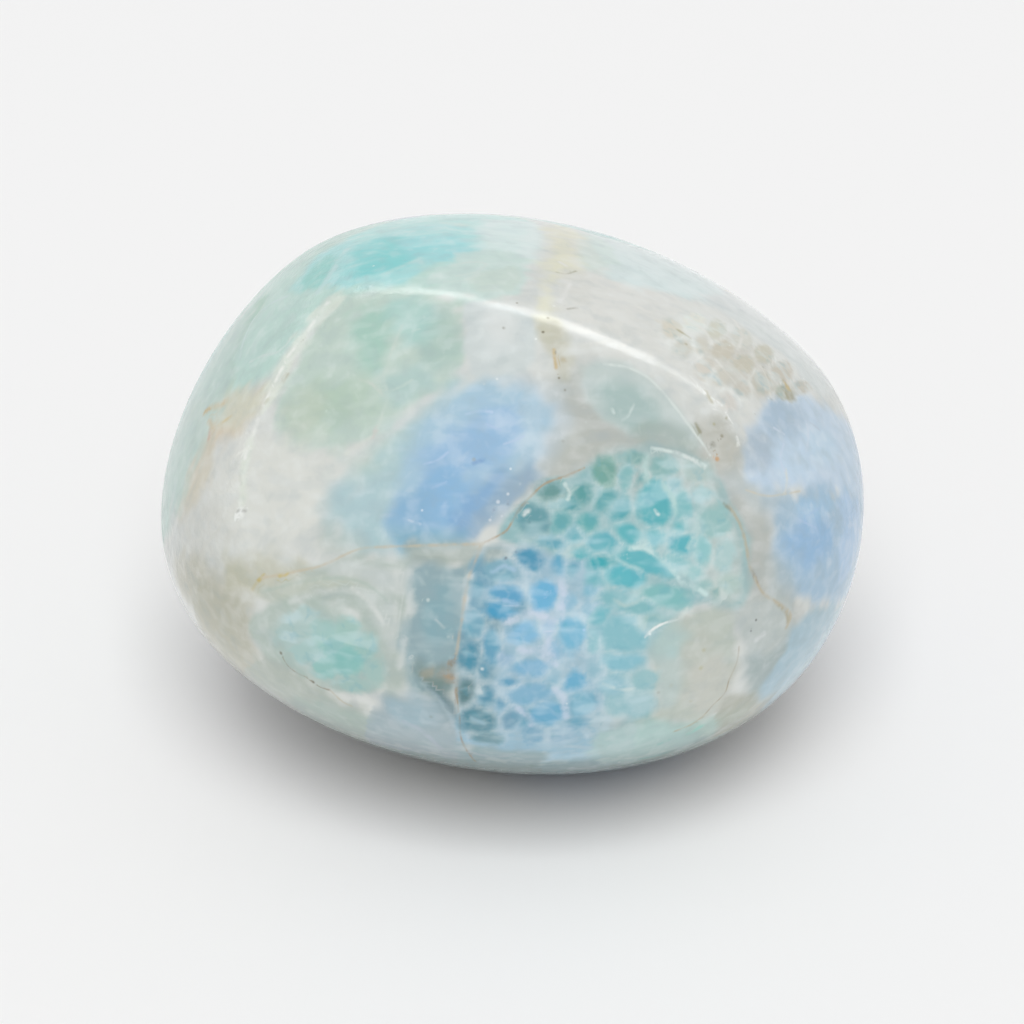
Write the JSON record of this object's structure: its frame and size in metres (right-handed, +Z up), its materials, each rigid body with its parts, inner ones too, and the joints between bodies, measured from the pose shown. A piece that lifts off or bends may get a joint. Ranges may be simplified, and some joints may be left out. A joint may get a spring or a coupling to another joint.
{
  "type": "tumbled stone",
  "caption": "Polished tumbled stone: a rounded egg-like pebble with softly bevelled worn faces, resting on a small flat spot.",
  "frame": {"origin": "on the ground, under the middle of the stone's bounding box; the flat resting spot lies in that plane", "axes": "+Z up; +X to the stone's right as seen from the front, along its longest side; -Y to the front, where the large worn face looks"},
  "size_m": [0.035, 0.0314, 0.0261],
  "materials": {
    "stone": "high polish, slightly translucent, mottled in turquoise, pale green, soft blue, white and cream"
  },
  "bodies": {
    "root": {"stone": "stone"}
  },
  "joints": []
}
